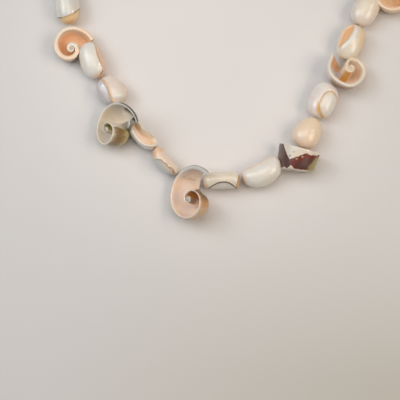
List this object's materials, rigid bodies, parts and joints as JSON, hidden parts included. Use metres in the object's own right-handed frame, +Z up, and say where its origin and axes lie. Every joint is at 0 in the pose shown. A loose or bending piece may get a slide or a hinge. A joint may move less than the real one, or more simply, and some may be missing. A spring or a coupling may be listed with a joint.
{
  "type": "snail shell necklace",
  "caption": "Loop necklace of polished ovoid snail shell beads and cut spiral shell slices strung on a thin thread, lying flat.",
  "frame": {"origin": "on the surface that the necklace lies on, under the middle of the loop's box", "axes": "+Z up from the surface, +Y from the front of the loop towards its clasp, +X to the right seen from above"},
  "size_m": [0.1602, 0.1906, 0.0211],
  "materials": {
    "shell_bead": "polished",
    "shell_slice": "satin",
    "thread": "satin",
    "clasp": "polished"
  },
  "bodies": {
    "root": {"bead_01": "shell_bead", "bead_02": "shell_bead", "bead_03": "shell_bead", "bead_04": "shell_bead", "bead_05": "shell_bead", "bead_06": "shell_bead", "bead_07": "shell_bead", "bead_08": "shell_bead", "bead_09": "shell_bead", "bead_10": "shell_bead", "bead_11": "shell_bead", "bead_12": "shell_bead", "bead_13": "shell_bead", "bead_14": "shell_bead", "bead_15": "shell_bead", "bead_16": "shell_bead", "bead_17": "shell_bead", "bead_18": "shell_bead", "bead_19": "shell_bead", "bead_20": "shell_bead", "bead_21": "shell_bead", "bead_22": "shell_bead", "slice_01": "shell_slice", "slice_02": "shell_slice", "slice_03": "shell_slice", "slice_04": "shell_slice", "slice_05": "shell_slice", "slice_06": "shell_slice", "slice_07": "shell_slice", "slice_08": "shell_slice", "slice_09": "shell_slice", "slice_10": "shell_slice", "thread": "thread", "clasp": "clasp"}
  },
  "joints": []
}
